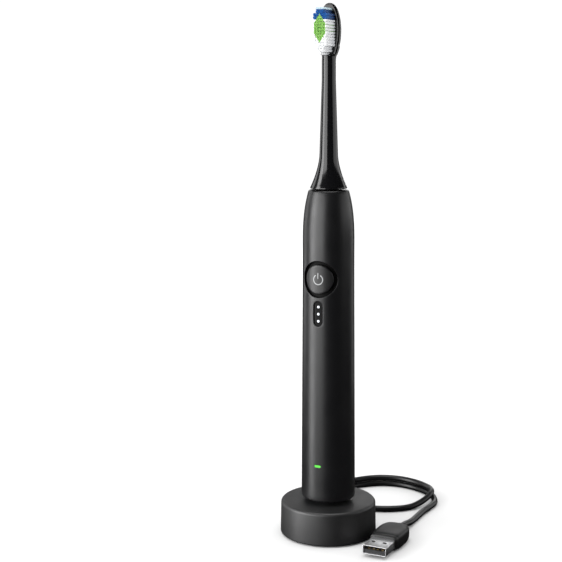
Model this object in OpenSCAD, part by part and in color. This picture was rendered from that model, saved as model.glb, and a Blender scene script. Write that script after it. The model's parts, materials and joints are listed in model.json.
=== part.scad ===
// Sonic toothbrush standing on its round charger.
// Millimetres. +Z is up, the brush faces -Y, and the origin is the centre of the charger's foot.

/* [Charger] */
// Radius of the charger at its foot
charger_r = 24.2; // [21:0.1:30]
// Height of the charger's deck above the shelf
charger_h = 17.3; // [15:0.1:24]
// Wall of the charger housing
charger_wall = 2; // [1.6:0.1:2.6]
// Radius of the charging peg
peg_r = 3.8; // [3.4:0.1:4.8]
// Height of the charging peg above its seat
peg_h = 9.6; // [7:0.1:11]
// Radius of the raised seat that the handset rests on
seat_r = 7.6; // [6.5:0.1:9]
// Height that the foot ring stands below the housing
foot_h = 0.6; // [0.4:0.1:1]

/* [Handset] */
// Radius of the handset near its lower end
handset_r = 13.5; // [12.2:0.1:16.5]
// Radius of the handset below its shoulder
shoulder_r = 12.75; // [12.2:0.05:16]
// Radius of the rim at the top of the handset
rim_r = 10; // [9:0.1:11.5]
// Height of the handset
handset_h = 155; // [150:1:195]
// Gap between the charger's deck and the handset
deck_gap = 1.8; // [1.2:0.1:3]
// Wall of the handset housing
wall = 1.6; // [1.3:0.1:1.8]

/* [Button and lights] */
// Radius of the power button
button_r = 7.2; // [5.5:0.1:7.6]
// Width of the sunk ring round the button
button_moat = 1.7; // [1:0.1:1.8]
// Travel of the button
button_travel = 0.5; // [0.3:0.1:0.6]
// Height of the button's centre above the handset's lower end
button_up = 112.3; // [108:0.1:114]
// Height of the mode window's centre above the handset's lower end
window_up = 95.3; // [80:0.1:96]
// Width of the mode window
window_w = 4.6; // [3:0.1:5]
// Length of the mode window
window_l = 12; // [10:0.5:13]
// Height of the charge light above the handset's lower end
charge_up = 18.7; // [16:0.1:21]

/* [Drive] */
// Radius of the drive shaft
shaft_r = 1.5; // [1.2:0.05:1.8]
// Length of shaft that stands out of the handset
shaft_out = 15; // [12:0.5:17]
// Radius of the battery cell
cell_r = 7; // [6:0.1:7.3]
// Length of the battery cell
cell_l = 52; // [40:1:54]

/* [Brush head] */
// Radius of the brush head's skirt
skirt_r = 9.05; // [8:0.05:9.6]
// Gap between the handset and the brush head
brush_gap = 1.2; // [1:0.1:2.5]
// Height of the brush head
brush_h = 88.2; // [74:0.1:105]
// Radius of the neck above the flare
neck_r = 4.5; // [4.2:0.1:5]
// Radius of the neck below the head
neck_top_r = 3.4; // [3:0.05:4]
// Half width of the oval head
head_w = 5.7; // [5:0.1:7]
// Half height of the oval head
head_l = 13; // [12:0.5:15]
// Length of the bristles
bristle_l = 11.2; // [8:0.1:12]

/* [Cord and plug] */
// Diameter of the cord
cord_d = 3.2; // [2.8:0.1:3.4]
// Angle from the back of the charger to the cord's exit
exit_turn = 26; // [26:1:26]

/* [Hidden] */
$fn = 64;
cut = 1;                 // how far a cutter runs past the face it opens
slip = 0.1;              // radial clearance of a sliding piece
run = 0.05;              // radial clearance of the shaft
touch = 0.1;             // gap between the handset and the seat it rests on
lining_gap = 0.03;       // gap between the housing and what lines it

// Charger
draft = 0.3;                                 // how much narrower the deck is than the foot
deck_edge = 1.6;                             // rounding of the deck's edge
foot_edge = 0.8;                             // rounding of the lower edge
cover_z = 0.9;                               // underside of the base cover
cover_t = 2;
cover_r = charger_r - charger_wall - 0.3;
foot_out = cover_r - 0.6;
foot_in = foot_out - 4.8;
foot_t = 1.4;
screw_ring = (foot_out + foot_in) / 2;
screw_r = 0.9;
board_z = 6.6;
board_t = 1.4;
board_r = screw_ring - 4.4;
relief_l = 13;
relief_neck = cord_d / 2 + 0.8;
exit_z = cover_z + cover_t + relief_neck + 1.2;

// Handset
handset_z = charger_h + deck_gap;
handset_top = handset_z + handset_h;
cap_recess = 0.3;
cap_z = handset_z + cap_recess;
seat_top = cap_z - touch;
peg_top = seat_top + peg_h;
bottom_edge = 1.3;
shoulder_l = 28;
bore_r = handset_r - wall;                   // inside of the housing at its lower end
upper_bore_r = shoulder_r - wall;            // inside of the housing under the shoulder
cap_t = 4.2;
well_r = peg_r + 0.6;
well_wall = 1.2;
well_h = peg_h + 2.2;
well_top = cap_z + well_h + well_wall;
frame_r = upper_bore_r - 1.1;
frame_z = well_top + 1.4;
frame_top = handset_top - 14.5;
board_y = -6.6;                              // back face of the main board
pcb_t = 1;
thread_l = 2.4;                              // how deep the board screws bite
pcb_w = 12.4;
pcb_z = well_top + 0.6;
pcb_top = button_z() + 8;
cell_y = cell_r + 0.9 + board_y;
cell_z = frame_z + 4.6;
function button_z() = handset_z + button_up;
window_z = handset_z + window_up;
charge_z = handset_z + charge_up;
button_plate = -9.6;                         // inner face of the button's plate
dot_r = 0.6;                                 // radius of the mode lights
bar_w = 3.4;                                 // width and height of the charge light
bar_h = 1.2;

// Drive
bearing_l = 6;
lower_bearing_z = cell_z + cell_l + 10;
lower_bearing_r = 4;
upper_bearing_r = 5;
upper_bearing_z = frame_top - bearing_l;
rotor_z = lower_bearing_z + bearing_l + 4;
rotor_l = 20;
rotor_r = 3.3;
magnet_t = 1.1;
coil_in = rotor_r + magnet_t + 0.6;
coil_out = coil_in + 1.8;
core_out = coil_out + 1.7;
seal_r = 4.6;
seal_t = 3.4;
top_wall = 2.4;

// Brush head
brush_z = handset_top + brush_gap;
brush_top = brush_z + brush_h;
flare_l = 16.5;
neck_l = brush_h - 2 * head_l - 10;
head_z = brush_top - head_l;
head_back = 4;
head_front = -0.4;
socket_r = 3.6;
socket_l = shaft_out - brush_gap + 1.6;
field_w = 3.4;                               // half width of the bristle field
field_l = 11;                                // half height of the bristle field
field_z = head_z - field_l - 0.4;            // where the neck steps down to the bristle face
tuft_r = 0.62;
tuft_pitch = 1.35;

// Plug
route_r = 24.2;                              // the charger radius that the cord's plan is drawn for
spread = charger_r / route_r;                // the plan and the plug move out with the charger
plug_x = 35.2 * spread;
plug_rear = 10.6 * spread;
plug_l = 24;
plug_w = 15.2;
plug_t = 8;
shell_l = 12;
shell_w = 12;
shell_t = 4.5;
shell_wall = 0.35;
tongue_t = 1.95;
tongue_top = tongue_t + shell_wall - shell_t / 2;
plug_z = plug_t / 2;
collar_l = 3;

// Cord: plan points with +Y straight out of the exit, then turned by exit_turn.
// The upper turn lies on the lower one, so both use the same plan.
low = cord_d / 2;
high = cord_d * 1.5 + 0.1;
rear_turn = [[18, 67.5], [26, 70.8], [34, 71.8], [42, 70], [49, 65.6], [54.8, 59]];
front_turn = [[42, 29.9], [37.5, 28.8], [32.5, 28.4], [27, 28.9], [21, 31], [15.5, 34.6],
    [11, 39.6], [8.2, 45.5], [7.6, 51.5], [9, 57], [12.5, 62.6]];
cord_plan = concat(
    [[0, 42, 6.2], [0.6, 47, 5.6], [2.2, 53, high], [5.6, 59, high], [11, 64.2, high]],
    [for (p = rear_turn) [p.x, p.y, high]],
    [[58.2, 51.4, high], [57.6, 44.6, 4.5], [53.2, 38, 3.1], [47, 32.3, 1.9]],
    [for (p = front_turn) [p.x, p.y, low]],
    [for (p = rear_turn) [p.x, p.y, low]],
    [[58.6, 51.6, low], [59.6, 44.6, low], [58.6, 37.6, low], [55, 30.6, low], [51, 24, low],
        [48.4, 19, low], [46.2, 14.5, low], [44, 10, 1.7], [41.6, 5, 2.3], [39.4, 0.3, 3.4],
        [37.6, -3.4, plug_z - 0.1]]
);
cord_route = concat(
    [turned([0, charger_r + relief_l, exit_z], exit_turn)],
    [for (p = cord_plan) turned([p.x * spread, p.y * spread, p.z], exit_turn)],
    [[plug_x, plug_rear, plug_z]]
);

function turned(p, a) = [p.x * cos(a) - p.y * sin(a), p.x * sin(a) + p.y * cos(a), p.z];
function unit(v) = v / norm(v);
function lifted(p, z) = [p.x, p.y, max(p.z, z)];

// One point between b and c on the smooth curve through a, b, c and d
function between(a, b, c, d, t) = 0.5 * ((2 * b) + (c - a) * t + (2 * a - 5 * b + 4 * c - d) * t * t
    + (3 * b - a - 3 * c + d) * t * t * t);
function smooth_path(p) = [
    for (i = [0 : len(p) - 2])
        for (t = [0, 0.5])
            lifted(between(p[max(i - 1, 0)], p[i], p[i + 1], p[min(i + 2, len(p) - 1)], t), low),
    p[len(p) - 1]
];

module swept_tube(path, r, sides = 8) {
    n = len(path);
    rings = [
        for (i = [0 : n - 1])
            let (
                way = unit(path[min(i + 1, n - 1)] - path[max(i - 1, 0)]),
                side = unit(cross(way, [0, 0, 1])),
                up = cross(side, way)
            )
            for (k = [0 : sides - 1])
                path[i] + r * (cos(360 * k / sides) * side + sin(360 * k / sides) * up)
    ];
    walls = [
        for (i = [0 : n - 2])
            for (k = [0 : sides - 1])
                let (k2 = (k + 1) % sides)
                [i * sides + k, i * sides + k2, (i + 1) * sides + k2, (i + 1) * sides + k]
    ];
    near_end = [for (k = [0 : sides - 1]) sides - 1 - k];
    far_end = [for (k = [0 : sides - 1]) (n - 1) * sides + k];
    polyhedron(points = rings, faces = concat([near_end], walls, [far_end]), convexity = 12);
}

module post(r, z0, z1) {
    translate([0, 0, z0]) cylinder(r = r, h = z1 - z0);
}

module tube(r_out, r_in, z0, z1) {
    difference() {
        post(r_out, z0, z1);
        post(r_in, z0 - cut, z1 + cut);
    }
}

// A rod from y0 to y1 at height z
module rod_y(r, y0, y1, z) {
    translate([0, y1, z]) rotate([90, 0, 0]) cylinder(r = r, h = y1 - y0);
}

// A block centred on x, from y0 to y1 and z0 to z1
module slab(w, y0, y1, z0, z1) {
    translate([-w / 2, y0, z0]) cube([w, y1 - y0, z1 - z0]);
}

// An upright slot with round ends, running along Y
module pill_y(w, l, y0, y1, z) {
    for (s = [-1, 1]) rod_y(w / 2, y0, y1, z + s * (l - w) / 2);
    slab(w, y0, y1, z - (l - w) / 2, z + (l - w) / 2);
}

// A bar lying across, with round ends, running along Y
module bar_y(w, h, y0, y1, z) {
    for (s = [-1, 1]) translate([s * (w - h) / 2, 0, 0]) rod_y(h / 2, y0, y1, z);
    slab(w - h, y0, y1, z - h / 2, z + h / 2);
}

// A quarter round from angle a0 to a1 about [x, z]
function arc(x, z, r, a0, a1, n = 8) = [
    for (i = [0 : n]) let (a = a0 + (a1 - a0) * i / n) [x + r * cos(a), z + r * sin(a)]
];

// Outer outline of the handset, from its lower end to the rim, moved in by inset
function handset_outline(inset = 0) = concat(
    arc(handset_r - bottom_edge, handset_z + bottom_edge, bottom_edge - min(inset, bottom_edge / 2),
        -90, 0),
    [for (i = [0 : 14])
        let (s = i / 14)
        [shoulder_r - (shoulder_r - rim_r) * pow(s, 2.8) - inset,
            handset_top - 0.6 - (shoulder_l - 0.6) * (1 - s)]],
    [[rim_r - 0.2 - inset, handset_top - 0.2], [rim_r - 0.6 - inset, handset_top]]
);

// Inside radius of the housing between the end cap and the shoulder, which tapers with height
function bore_at(z) = let (z0 = handset_z + cap_t + 13, z1 = handset_top - shoulder_l)
    bore_r + (upper_bore_r - bore_r) * (z - z0) / (z1 - z0);

// A lining t thick that follows the inside of the housing from z0 to z1
module bore_lining(t, z0, z1) {
    rotate_extrude() polygon([
        [bore_at(z0) - t, z0], [bore_at(z0) - lining_gap, z0],
        [bore_at(z1) - lining_gap, z1], [bore_at(z1) - t, z1]
    ]);
}

// Solid of the handset's outside, moved in by inset
module handset_form(inset = 0) {
    rotate_extrude()
        polygon(concat([[0, handset_z]], handset_outline(inset), [[0, handset_top]]));
}

// ---- Charger -------------------------------------------------------------

module charger_housing() color("#1c1c1e") {
    inner_r = charger_r - charger_wall;
    deck_t = 1.8;
    difference() {
        union() {
            rotate_extrude()
                polygon(concat(
                    [[0, foot_h]],
                    arc(charger_r - foot_edge, foot_h + foot_edge, foot_edge, -90, 0),
                    arc(charger_r - draft - deck_edge, charger_h - deck_edge, deck_edge, 0, 90),
                    [[0, charger_h]]
                ));
            post(seat_r, charger_h - cut, seat_top);
            rotate_extrude()
                polygon(concat(
                    [[0, charger_h], [peg_r, charger_h]],
                    arc(peg_r - 1, peg_top - 1, 1, 0, 90),
                    [[0, peg_top]]
                ));
        }
        post(inner_r, foot_h - cut, charger_h - deck_t);
        post(peg_r - 0.9, charger_h - deck_t - cut, peg_top - 0.9);
        rotate([0, 0, exit_turn]) rod_y(relief_neck, inner_r - 4, charger_r + cut, exit_z);
    }
    for (a = [0 : 2]) rotate([0, 0, a * 120 + 60]) translate([screw_ring, 0, 0])
        tube(2.4, screw_r, cover_z + cover_t, charger_h - deck_t);
}

module base_cover() color("#202022") {
    difference() {
        post(cover_r, cover_z, cover_z + cover_t);
        tube(foot_out + slip, foot_in - slip, cover_z - cut, foot_t);
        for (a = [0 : 2]) rotate([0, 0, a * 120 + 60]) translate([screw_ring, 0, 0]) {
            post(screw_r + 0.15, cover_z - cut, cover_z + cover_t + cut);
            post(screw_r * 2 + 0.1, cover_z - cut, foot_t + 0.9);
        }
    }
    for (a = [0 : 2]) rotate([0, 0, a * 120]) translate([board_r - 3, 0, 0])
        post(1.8, cover_z + cover_t, board_z);
}

module cover_screws() color("silver") {
    for (a = [0 : 2]) rotate([0, 0, a * 120 + 60]) translate([screw_ring, 0, 0]) {
        post(screw_r * 2, foot_t, foot_t + 0.9);
        post(screw_r, foot_t + 0.9, foot_t + 8);
    }
}

module foot_ring() color("#2a2a2c") {
    tube(foot_out, foot_in, 0, foot_t);
}

module charger_board() color("#1f5a36") {
    post(board_r, board_z, board_z + board_t);
    translate([5, -3, board_z + board_t]) cube([4, 5, 1.2]);
    translate([-10, -2, board_z + board_t]) cube([3, 3, 1]);
    translate([-4, -9, board_z + board_t]) cube([6, 3, 1.4]);
    translate([0, 8, 0]) post(2, board_z + board_t, board_z + board_t + 4);
}

module ferrite_core() color("#3a3a3e") {
    post(1.5, board_z + board_t, peg_top - 1.6);
}

module primary_coil() color("#b06a34") {
    tube(2.7, 1.6, charger_h + 0.6, peg_top - 2);
}

module strain_relief() color("#19191b") {
    rings = 4;
    rotate([0, 0, exit_turn]) difference() {
        union() {
            rod_y(relief_neck, charger_r - charger_wall - 1, charger_r + 1, exit_z);
            rod_y(relief_neck + 1, charger_r - charger_wall - 2, charger_r - charger_wall - 0.6, exit_z);
            translate([0, charger_r + relief_l, exit_z]) rotate([90, 0, 0])
                cylinder(r1 = cord_d / 2 + 0.4, r2 = relief_neck + 0.5, h = relief_l - 0.2);
        }
        for (i = [1 : rings]) translate([0, charger_r + i * 2.4, 0]) difference() {
            rod_y(relief_neck + 2, 0, 0.8, exit_z);
            rod_y(cord_d / 2 + 0.3, -cut, 0.8 + cut, exit_z);
        }
    }
}

module usb_cord() color("#151517") {
    swept_tube(smooth_path(cord_route), cord_d / 2);
}

module plug_body() color("#1a1a1c") {
    corner = 2.4;
    front = plug_rear - plug_l;
    grip_l = plug_l - collar_l;
    translate([plug_x, 0, plug_z]) {
        hull() {
            for (sx = [-1, 1]) for (sz = [-1, 1]) {
                translate([sx * (plug_w / 2 - corner - 0.6), front, sz * (plug_t / 2 - corner)])
                    rotate([-90, 0, 0]) cylinder(r = corner, h = 1, $fn = 24);
                translate([sx * (plug_w / 2 - corner), front + 7, sz * (plug_t / 2 - corner)])
                    rotate([-90, 0, 0]) cylinder(r = corner, h = grip_l - 12, $fn = 24);
                translate([sx * (plug_w / 2 - corner - 1.8), front, sz * (plug_t / 2 - corner)])
                    rotate([-90, 0, 0]) cylinder(r = corner - 0.5, h = grip_l, $fn = 24);
            }
        }
        rod_y(cord_d / 2 + 0.9, plug_rear - collar_l, plug_rear, 0);
    }
}

module plug_shell() color("#c9cacd") {
    front = plug_rear - plug_l - shell_l;
    translate([plug_x, 0, plug_z]) difference() {
        slab(shell_w, front, front + shell_l, -shell_t / 2, shell_t / 2);
        slab(shell_w - 2 * shell_wall, front - cut, front + shell_l - shell_wall,
            -shell_t / 2 + shell_wall, shell_t / 2 - shell_wall);
        for (s = [-1, 1]) translate([s * 2.9, 0, 0])
            slab(2, front + 5.2, front + 7.6, 0, shell_t);
    }
}

module plug_tongue() color("#6c6f74") {
    front = plug_rear - plug_l - shell_l;
    translate([plug_x, 0, plug_z])
        slab(shell_w - 2 * shell_wall - 0.4, front + 0.6, front + shell_l - shell_wall,
            tongue_top - tongue_t, tongue_top);
}

module plug_contacts() color("#d8b25a") {
    front = plug_rear - plug_l - shell_l;
    for (x = [-3.5, -1, 1, 3.5]) translate([plug_x + x, 0, plug_z])
        slab(1, front + 2, front + shell_l - 2, tongue_top, tongue_top + 0.2);
}

// ---- Handset -------------------------------------------------------------

module handset_housing() color("#1d1d1f") {
    difference() {
        handset_form();
        post(bore_r, handset_z - cut, handset_z + cap_t + 14);
        rotate_extrude()
            polygon([
                [0, handset_z + cap_t + 13], [bore_r, handset_z + cap_t + 13],
                [upper_bore_r, handset_top - shoulder_l], [upper_bore_r - 0.6, handset_top - 14],
                [rim_r - wall - 0.6, handset_top - top_wall], [0, handset_top - top_wall]
            ]);
        post(seal_r, handset_top - top_wall - cut, handset_top + cut);
        rod_y(button_r + button_moat, -handset_r - cut, 0, button_z());
        pill_y(window_w, window_l, -handset_r - cut, 0, window_z);
        bar_y(bar_w, bar_h, -handset_r - cut, 0, charge_z);
    }
}

module end_cap() color("#151517") {
    groove_z = cap_z + 2.3;
    difference() {
        union() {
            post(bore_r - slip, cap_z, cap_z + cap_t);
            post(well_r + well_wall, cap_z, well_top);
        }
        post(well_r, cap_z - cut, cap_z + well_h);
        rotate_extrude() translate([bore_r - 0.55, groove_z]) circle(r = 0.55, $fn = 24);
    }
}

module cap_seal() color("#3b3b3f") {
    rotate_extrude() translate([bore_r - 0.55, cap_z + 2.3]) circle(r = 0.55, $fn = 24);
}

module coil_bobbin() color("#d9d5c8") {
    r = well_r + well_wall;
    z0 = cap_z + cap_t;
    tube(r + 0.9, r, z0, well_top - 0.6);
    tube(r + 3.6, r + 0.9, z0, z0 + 0.8);
    tube(r + 3.6, r + 0.9, well_top - 1.4, well_top - 0.6);
}

module receiving_coil() color("#b06a34") {
    r = well_r + well_wall + 0.9;
    tube(r + 2.2, r, cap_z + cap_t + 0.8, well_top - 1.4);
}

module chassis() color("#cfcabd") {
    difference() {
        post(frame_r, frame_z, frame_top);
        slab(3 * frame_r, -2 * frame_r, board_y, frame_z - cut, frame_top + cut);
        translate([0, cell_y, 0]) post(cell_r + slip, frame_z + 1.6, cell_z + cell_l + 3.4);
        slab(2 * cell_r - 4, board_y - cut, cell_y, frame_z + 1.6, cell_z + cell_l + 3.4);
        post(lower_bearing_r, lower_bearing_z, lower_bearing_z + bearing_l + cut);
        post(shaft_r + 1.2, lower_bearing_z - 2, lower_bearing_z + cut);
        post(core_out, lower_bearing_z + bearing_l, upper_bearing_z - 4);
        slab(9, board_y - cut, 0, lower_bearing_z + bearing_l, upper_bearing_z - 4);
        post(upper_bearing_r, upper_bearing_z, frame_top + cut);
        post(shaft_r + 1.2, upper_bearing_z - 5, upper_bearing_z + cut);
        for (z = screw_heights()) rod_y(screw_r, board_y - cut, board_y + thread_l, z);
    }
}

function screw_heights() = [cell_z + cell_l + 6, lower_bearing_z + bearing_l - 1.5];

module battery_cell() color("#2f6f9f") {
    translate([0, cell_y, 0]) {
        post(cell_r, cell_z, cell_z + cell_l);
        post(2.4, cell_z + cell_l, cell_z + cell_l + 0.8);
    }
}

module battery_tabs() color("#c5c6c8") {
    top = cell_z + cell_l + 0.8;
    for (z = [cell_z - 0.3, top])
        slab(5, board_y + 0.1, cell_y + 3, z, z + 0.3);
}

module battery_pad() color("#4a4a4d") {
    translate([0, cell_y, 0]) post(cell_r - 0.6, frame_z + 1.6, cell_z - 0.3);
}

module main_board() color("#1f5a36") {
    difference() {
        slab(pcb_w, board_y - pcb_t, board_y, pcb_z, pcb_top);
        for (z = screw_heights()) rod_y(screw_r + slip, board_y - 3, board_y + cut, z);
    }
}

module board_chips() color("#18181a") {
    front = board_y - pcb_t;
    slab(5, front - 0.9, front, cell_z + 4, cell_z + 9);
    slab(4, front - 0.8, front, cell_z + 14, cell_z + 19);
    translate([3, 0, 0]) slab(1.6, front - 0.7, front, cell_z + 24, cell_z + 26);
    translate([-3, 0, 0]) slab(1.6, front - 0.7, front, cell_z + 24, cell_z + 26);
    slab(6, front - 1.2, front, cell_z + 30, cell_z + 36);
}

module board_screws() color("silver") {
    front = board_y - pcb_t;
    for (z = screw_heights()) {
        rod_y(screw_r, front, board_y + thread_l, z);
        rod_y(screw_r * 1.8, front - 0.9, front, z);
    }
}

module switch_body() color("#3a3a3d") {
    front = board_y - pcb_t;
    difference() {
        slab(5, front - 1.1, front, button_z() - 2.5, button_z() + 2.5);
        rod_y(1.2 + slip, front - 1.1 - cut, front - 0.1, button_z());
    }
}

module switch_stem() color("#b9b9bc") {
    front = board_y - pcb_t;
    rod_y(1.2, button_plate, front - 0.1 - button_travel, button_z());
}

module indicator_leds() color("#f2f2ee") {
    front = board_y - pcb_t;
    for (i = [-1 : 1]) slab(1.6, front - 0.8, front, window_z + i * dot_pitch() - 0.8,
        window_z + i * dot_pitch() + 0.8);
    slab(1.6, front - 0.8, front, charge_z - 0.8, charge_z + 0.8);
}

function dot_pitch() = (window_l - window_w) / 2 * 0.95;

module mode_window() color("#2c2c30") {
    difference() {
        union() {
            intersection() {
                pill_y(window_w, window_l, -handset_r, -upper_bore_r + 1.2, window_z);
                handset_form(0.7);
            }
            intersection() {
                pill_y(window_w + 2, window_l + 2, -handset_r, 0, window_z);
                bore_lining(1, window_z - window_l, window_z + window_l);
            }
        }
        for (i = [-1 : 1]) rod_y(dot_r, -handset_r - cut, 0, window_z + i * dot_pitch());
    }
}

module mode_dots() color("white") {
    for (i = [-1 : 1]) intersection() {
        rod_y(dot_r, -handset_r, -9.4, window_z + i * dot_pitch());
        handset_form(0.6);
    }
}

module charge_lens() color("#59e07c") {
    intersection() {
        bar_y(bar_w, bar_h, -handset_r, -9.4, charge_z);
        handset_form(0.1);
    }
}

module button_seal() color("#0e0e10") {
    difference() {
        intersection() {
            bore_lining(1, button_z() - 13, button_z() + 13);
            rod_y(button_r + button_moat + 0.8, -handset_r, 0, button_z());
        }
        rod_y(button_r + slip, -handset_r - cut, cut, button_z());
    }
}

module stator_core() color("#77787c") {
    difference() {
        tube(core_out, coil_out, rotor_z, rotor_z + rotor_l);
        slab(8, -core_out - cut, 0, rotor_z - cut, rotor_z + rotor_l + cut);
        slab(3 * core_out, -core_out - cut, board_y, rotor_z - cut, rotor_z + rotor_l + cut);
    }
}

module drive_coil() color("#b06a34") {
    difference() {
        tube(coil_out, coil_in, rotor_z + 1.5, rotor_z + rotor_l - 1.5);
        slab(3 * core_out, -core_out - cut, board_y + 0.4, rotor_z - cut, rotor_z + rotor_l + cut);
    }
}

module lower_bearing() color("#b99a5b") {
    tube(lower_bearing_r, shaft_r + run, lower_bearing_z, lower_bearing_z + bearing_l);
}

module upper_bearing() color("#b99a5b") {
    tube(upper_bearing_r, shaft_r + run, upper_bearing_z, upper_bearing_z + bearing_l);
}

module shaft_seal() color("#1b1b1d") {
    tube(seal_r, shaft_r + run, handset_top - seal_t, handset_top + 0.5);
}

// ---- Drive ---------------------------------------------------------------

module drive_shaft() color("#b8babd") {
    top = handset_top + shaft_out;
    difference() {
        post(shaft_r, lower_bearing_z - 1, top);
        slab(2 * shaft_r, shaft_r * 0.6, shaft_r + cut, handset_top + 3, top + cut);
    }
}

module rotor() color("#8b8d90") {
    tube(rotor_r, shaft_r, rotor_z, rotor_z + rotor_l);
}

module rotor_magnets() color("#55575b") {
    for (a = [0 : 3]) rotate([0, 0, a * 90 + 45]) intersection() {
        tube(rotor_r + magnet_t, rotor_r, rotor_z + 1, rotor_z + rotor_l - 1);
        slab(3.4, 0, rotor_r + magnet_t, rotor_z, rotor_z + rotor_l);
    }
}

module return_spring() color("#a9abae") {
    z0 = rotor_z + rotor_l + 0.6;
    z1 = upper_bearing_z - 5;
    difference() {
        union() {
            for (a = [0, 90]) rotate([0, 0, a + 45]) slab(6.4, -0.4, 0.4, z0, z1);
            tube(shaft_r + 0.9, shaft_r, z0, z0 + 2);
        }
        post(shaft_r, z0 - cut, z1 + cut);
    }
}

// ---- Button --------------------------------------------------------------

module power_button() color("#222224") {
    skirt_y = board_y - pcb_t - 0.3 - button_travel;
    difference() {
        intersection() {
            rod_y(button_r, -handset_r, skirt_y, button_z());
            handset_form(0.1);
        }
        rod_y(button_r - 1.2, button_plate, skirt_y + cut, button_z());
        intersection() {
            power_mark(-handset_r, -6);
            difference() {
                handset_form();
                handset_form(0.3);
            }
        }
    }
}

// A broken ring with an upright bar
module power_mark(y0, y1) {
    mark_r = 2.4;
    stroke = 0.55;
    difference() {
        rod_y(mark_r + stroke / 2, y0, y1, button_z());
        rod_y(mark_r - stroke / 2, y0 - cut, y1 + cut, button_z());
        slab(2.4, y0 - cut, y1 + cut, button_z(), button_z() + mark_r + stroke);
    }
    slab(stroke, y0, y1, button_z() + 0.4, button_z() + mark_r + 0.8);
}

module power_symbol() color("#c8c9cb") {
    intersection() {
        power_mark(-handset_r, button_plate - 1);
        difference() {
            handset_form(0.1);
            handset_form(0.3);
        }
    }
}

// ---- Brush head ----------------------------------------------------------

function brush_r(h) = h < flare_l ? neck_r + (skirt_r - neck_r) * pow(1 - h / flare_l, 1.7)
    : max(neck_top_r, neck_r - (neck_r - neck_top_r) * (h - flare_l) / (neck_l - flare_l));

// Oval of the head, grown by g
module head_oval(g) {
    polygon([for (a = [0 : 10 : 350]) [(head_w + g) * cos(a), (head_l + g) * sin(a)]]);
}

module head_slice(y, g) {
    translate([0, y, head_z]) rotate([90, 0, 0]) linear_extrude(0.02) head_oval(g);
}

module brush_shell() color("#141416") {
    shelf = brush_z + socket_l + 1;
    difference() {
        union() {
            rotate_extrude()
                polygon(concat(
                    [[0, brush_z], [skirt_r - 0.3, brush_z]],
                    [for (i = [0 : 11]) let (h = 0.3 + (flare_l - 0.3) * i / 11)
                        [brush_r(h), brush_z + h]],
                    [[neck_top_r, brush_z + neck_l], [neck_top_r, field_z - 1.2],
                        [0, field_z - 1.2]]
                ));
            hull() {
                head_slice(head_front + 0.1, -0.3);
                head_slice(head_front + 1.4, 0);
                head_slice(head_back - 1.4, -0.8);
                head_slice(head_back, -2.6);
                post(neck_top_r - 0.1, head_z - head_l - 4, field_z - 1.2);
            }
        }
        slab(4 * head_w, -2 * skirt_r, head_front, field_z, brush_top + cut);
        post(socket_r, brush_z - cut, shelf);
        rotate_extrude()
            polygon([
                [0, brush_z - cut], [skirt_r - 1.3, brush_z - cut], [skirt_r - 1.3, brush_z + 0.2],
                [socket_r, brush_z + 5.5], [0, brush_z + 5.5]
            ]);
    }
}

module shaft_socket() color("#1a1a1c") {
    difference() {
        post(socket_r, brush_z + 0.4, brush_z + socket_l + 1);
        difference() {
            post(shaft_r + run, brush_z, brush_z + socket_l);
            slab(3 * shaft_r, shaft_r * 0.6 + run, 2 * shaft_r, brush_z + 2, brush_z + socket_l);
        }
        tube(socket_r + cut, socket_r - 0.5, brush_z + 6.4, brush_z + 8.4);
    }
}

module socket_clip() color("#b8babd") {
    difference() {
        tube(socket_r - 0.02, socket_r - 0.5, brush_z + 6.4, brush_z + 8.4);
        slab(2, 0, socket_r + cut, brush_z + 6, brush_z + 9);
    }
}

// Colour of the tuft at x, z from the field's centre: 0 white, 1 green, 2 blue
function tuft_colour(x, z) = abs(x) / 3.6 + abs(z - 1) / 7.1 < 1 ? 1 : z > 4.4 ? 2 : 0;
function in_field(x, z) = pow(x / field_w, 2) + pow(abs(z) / field_l, 2.4) < 1 && z < field_l - 1;

module bristles(colour) {
    rows = floor(field_l / tuft_pitch);
    columns = floor(field_w / tuft_pitch);
    for (i = [-rows : rows])
        for (j = [-columns : columns])
            let (x = j * tuft_pitch, z = i * tuft_pitch)
            if (in_field(x, z) && tuft_colour(x, z) == colour)
                translate([x, 0, 0]) rod_y(tuft_r, -bristle_l, head_front, head_z + z, $fn = 16);
}

module white_bristles() color("#f4f5f6") bristles(0);
module green_bristles() color("#2fa84a") bristles(1);
module blue_bristles() color("#1f4fa3") bristles(2);

charger_housing();
base_cover();
cover_screws();
foot_ring();
charger_board();
ferrite_core();
primary_coil();
strain_relief();
usb_cord();
plug_body();
plug_shell();
plug_tongue();
plug_contacts();
handset_housing();
end_cap();
cap_seal();
coil_bobbin();
receiving_coil();
chassis();
battery_cell();
battery_tabs();
battery_pad();
main_board();
board_chips();
board_screws();
switch_body();
indicator_leds();
mode_window();
mode_dots();
charge_lens();
button_seal();
stator_core();
drive_coil();
lower_bearing();
upper_bearing();
shaft_seal();
drive_shaft();
rotor();
rotor_magnets();
return_spring();
power_button();
power_symbol();
switch_stem();
brush_shell();
shaft_socket();
socket_clip();
white_bristles();
green_bristles();
blue_bristles();
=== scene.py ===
# %% [markdown]
# # An electric toothbrush on its charger
# The mechanical model of this toothbrush already exists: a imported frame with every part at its
# real size, in metres, on the bodies that move. This lesson gives it its looks. We place the
# camera, lay the cord, model the visible skins with bmesh operators (the charger, the handset, the
# button, the brush head, the bristles and the plug), and light them as in a small studio.

# %% Load the frame
import json
import math
import random

import bmesh
import bpy
from mathutils import Matrix, Vector


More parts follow.
